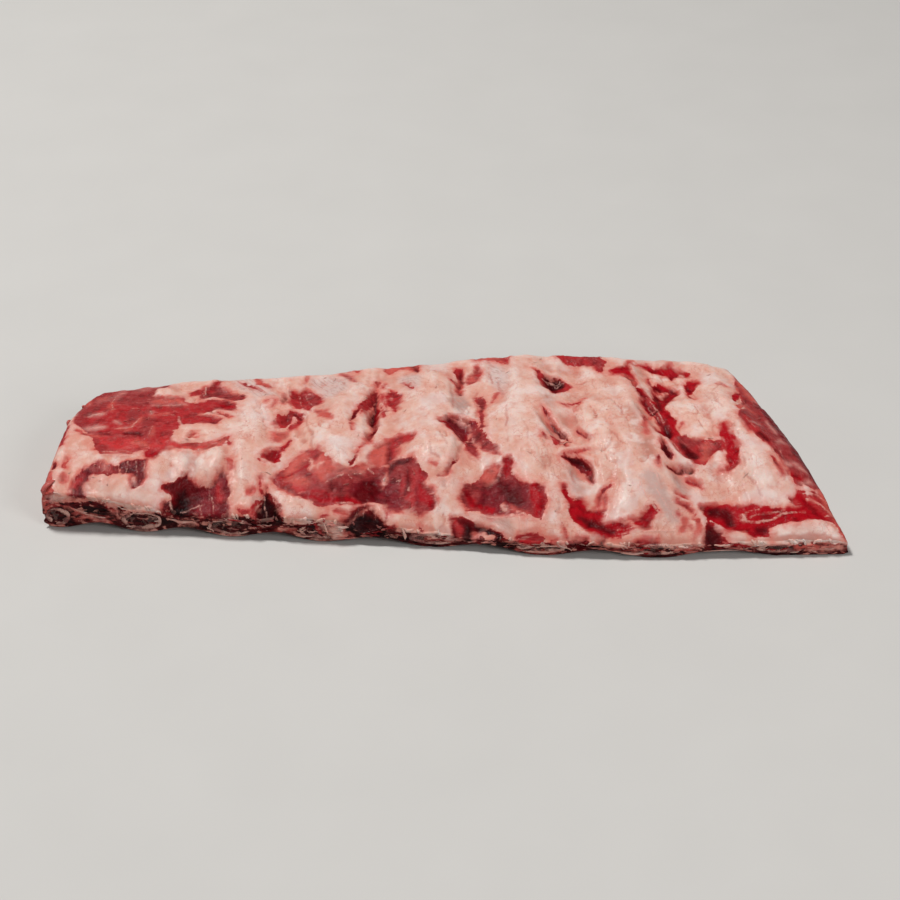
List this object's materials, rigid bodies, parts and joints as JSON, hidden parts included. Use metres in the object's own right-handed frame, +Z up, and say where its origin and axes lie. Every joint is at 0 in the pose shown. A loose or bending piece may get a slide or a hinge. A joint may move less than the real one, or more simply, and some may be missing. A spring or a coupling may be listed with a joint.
{
  "type": "rack of ribs",
  "caption": "Raw rack of beef back ribs: one slab of lean and fat with rib bones running across it, cut through at both long edges.",
  "frame": {"origin": "under the middle of the rack's outline, on the surface that it lies on", "axes": "+X along the sawn edge towards the wide slanting end, +Y from the sawn edge to the spine edge, +Z up, from the membrane side to the fat side"},
  "size_m": [0.452, 0.167, 0.0352],
  "materials": {
    "flesh": "moist raw lean and fat",
    "bone": "smooth, moist",
    "marrow": "porous, moist"
  },
  "bodies": {
    "root": {"flesh": "flesh", "rib_bone_1": "bone", "rib_bone_2": "bone", "rib_bone_3": "bone", "rib_bone_4": "bone", "rib_bone_5": "bone", "rib_bone_6": "bone", "rib_bone_7": "bone", "rib_bone_8": "bone", "marrow_1": "marrow", "marrow_2": "marrow", "marrow_3": "marrow", "marrow_4": "marrow", "marrow_5": "marrow", "marrow_6": "marrow", "marrow_7": "marrow", "marrow_8": "marrow"}
  },
  "joints": []
}
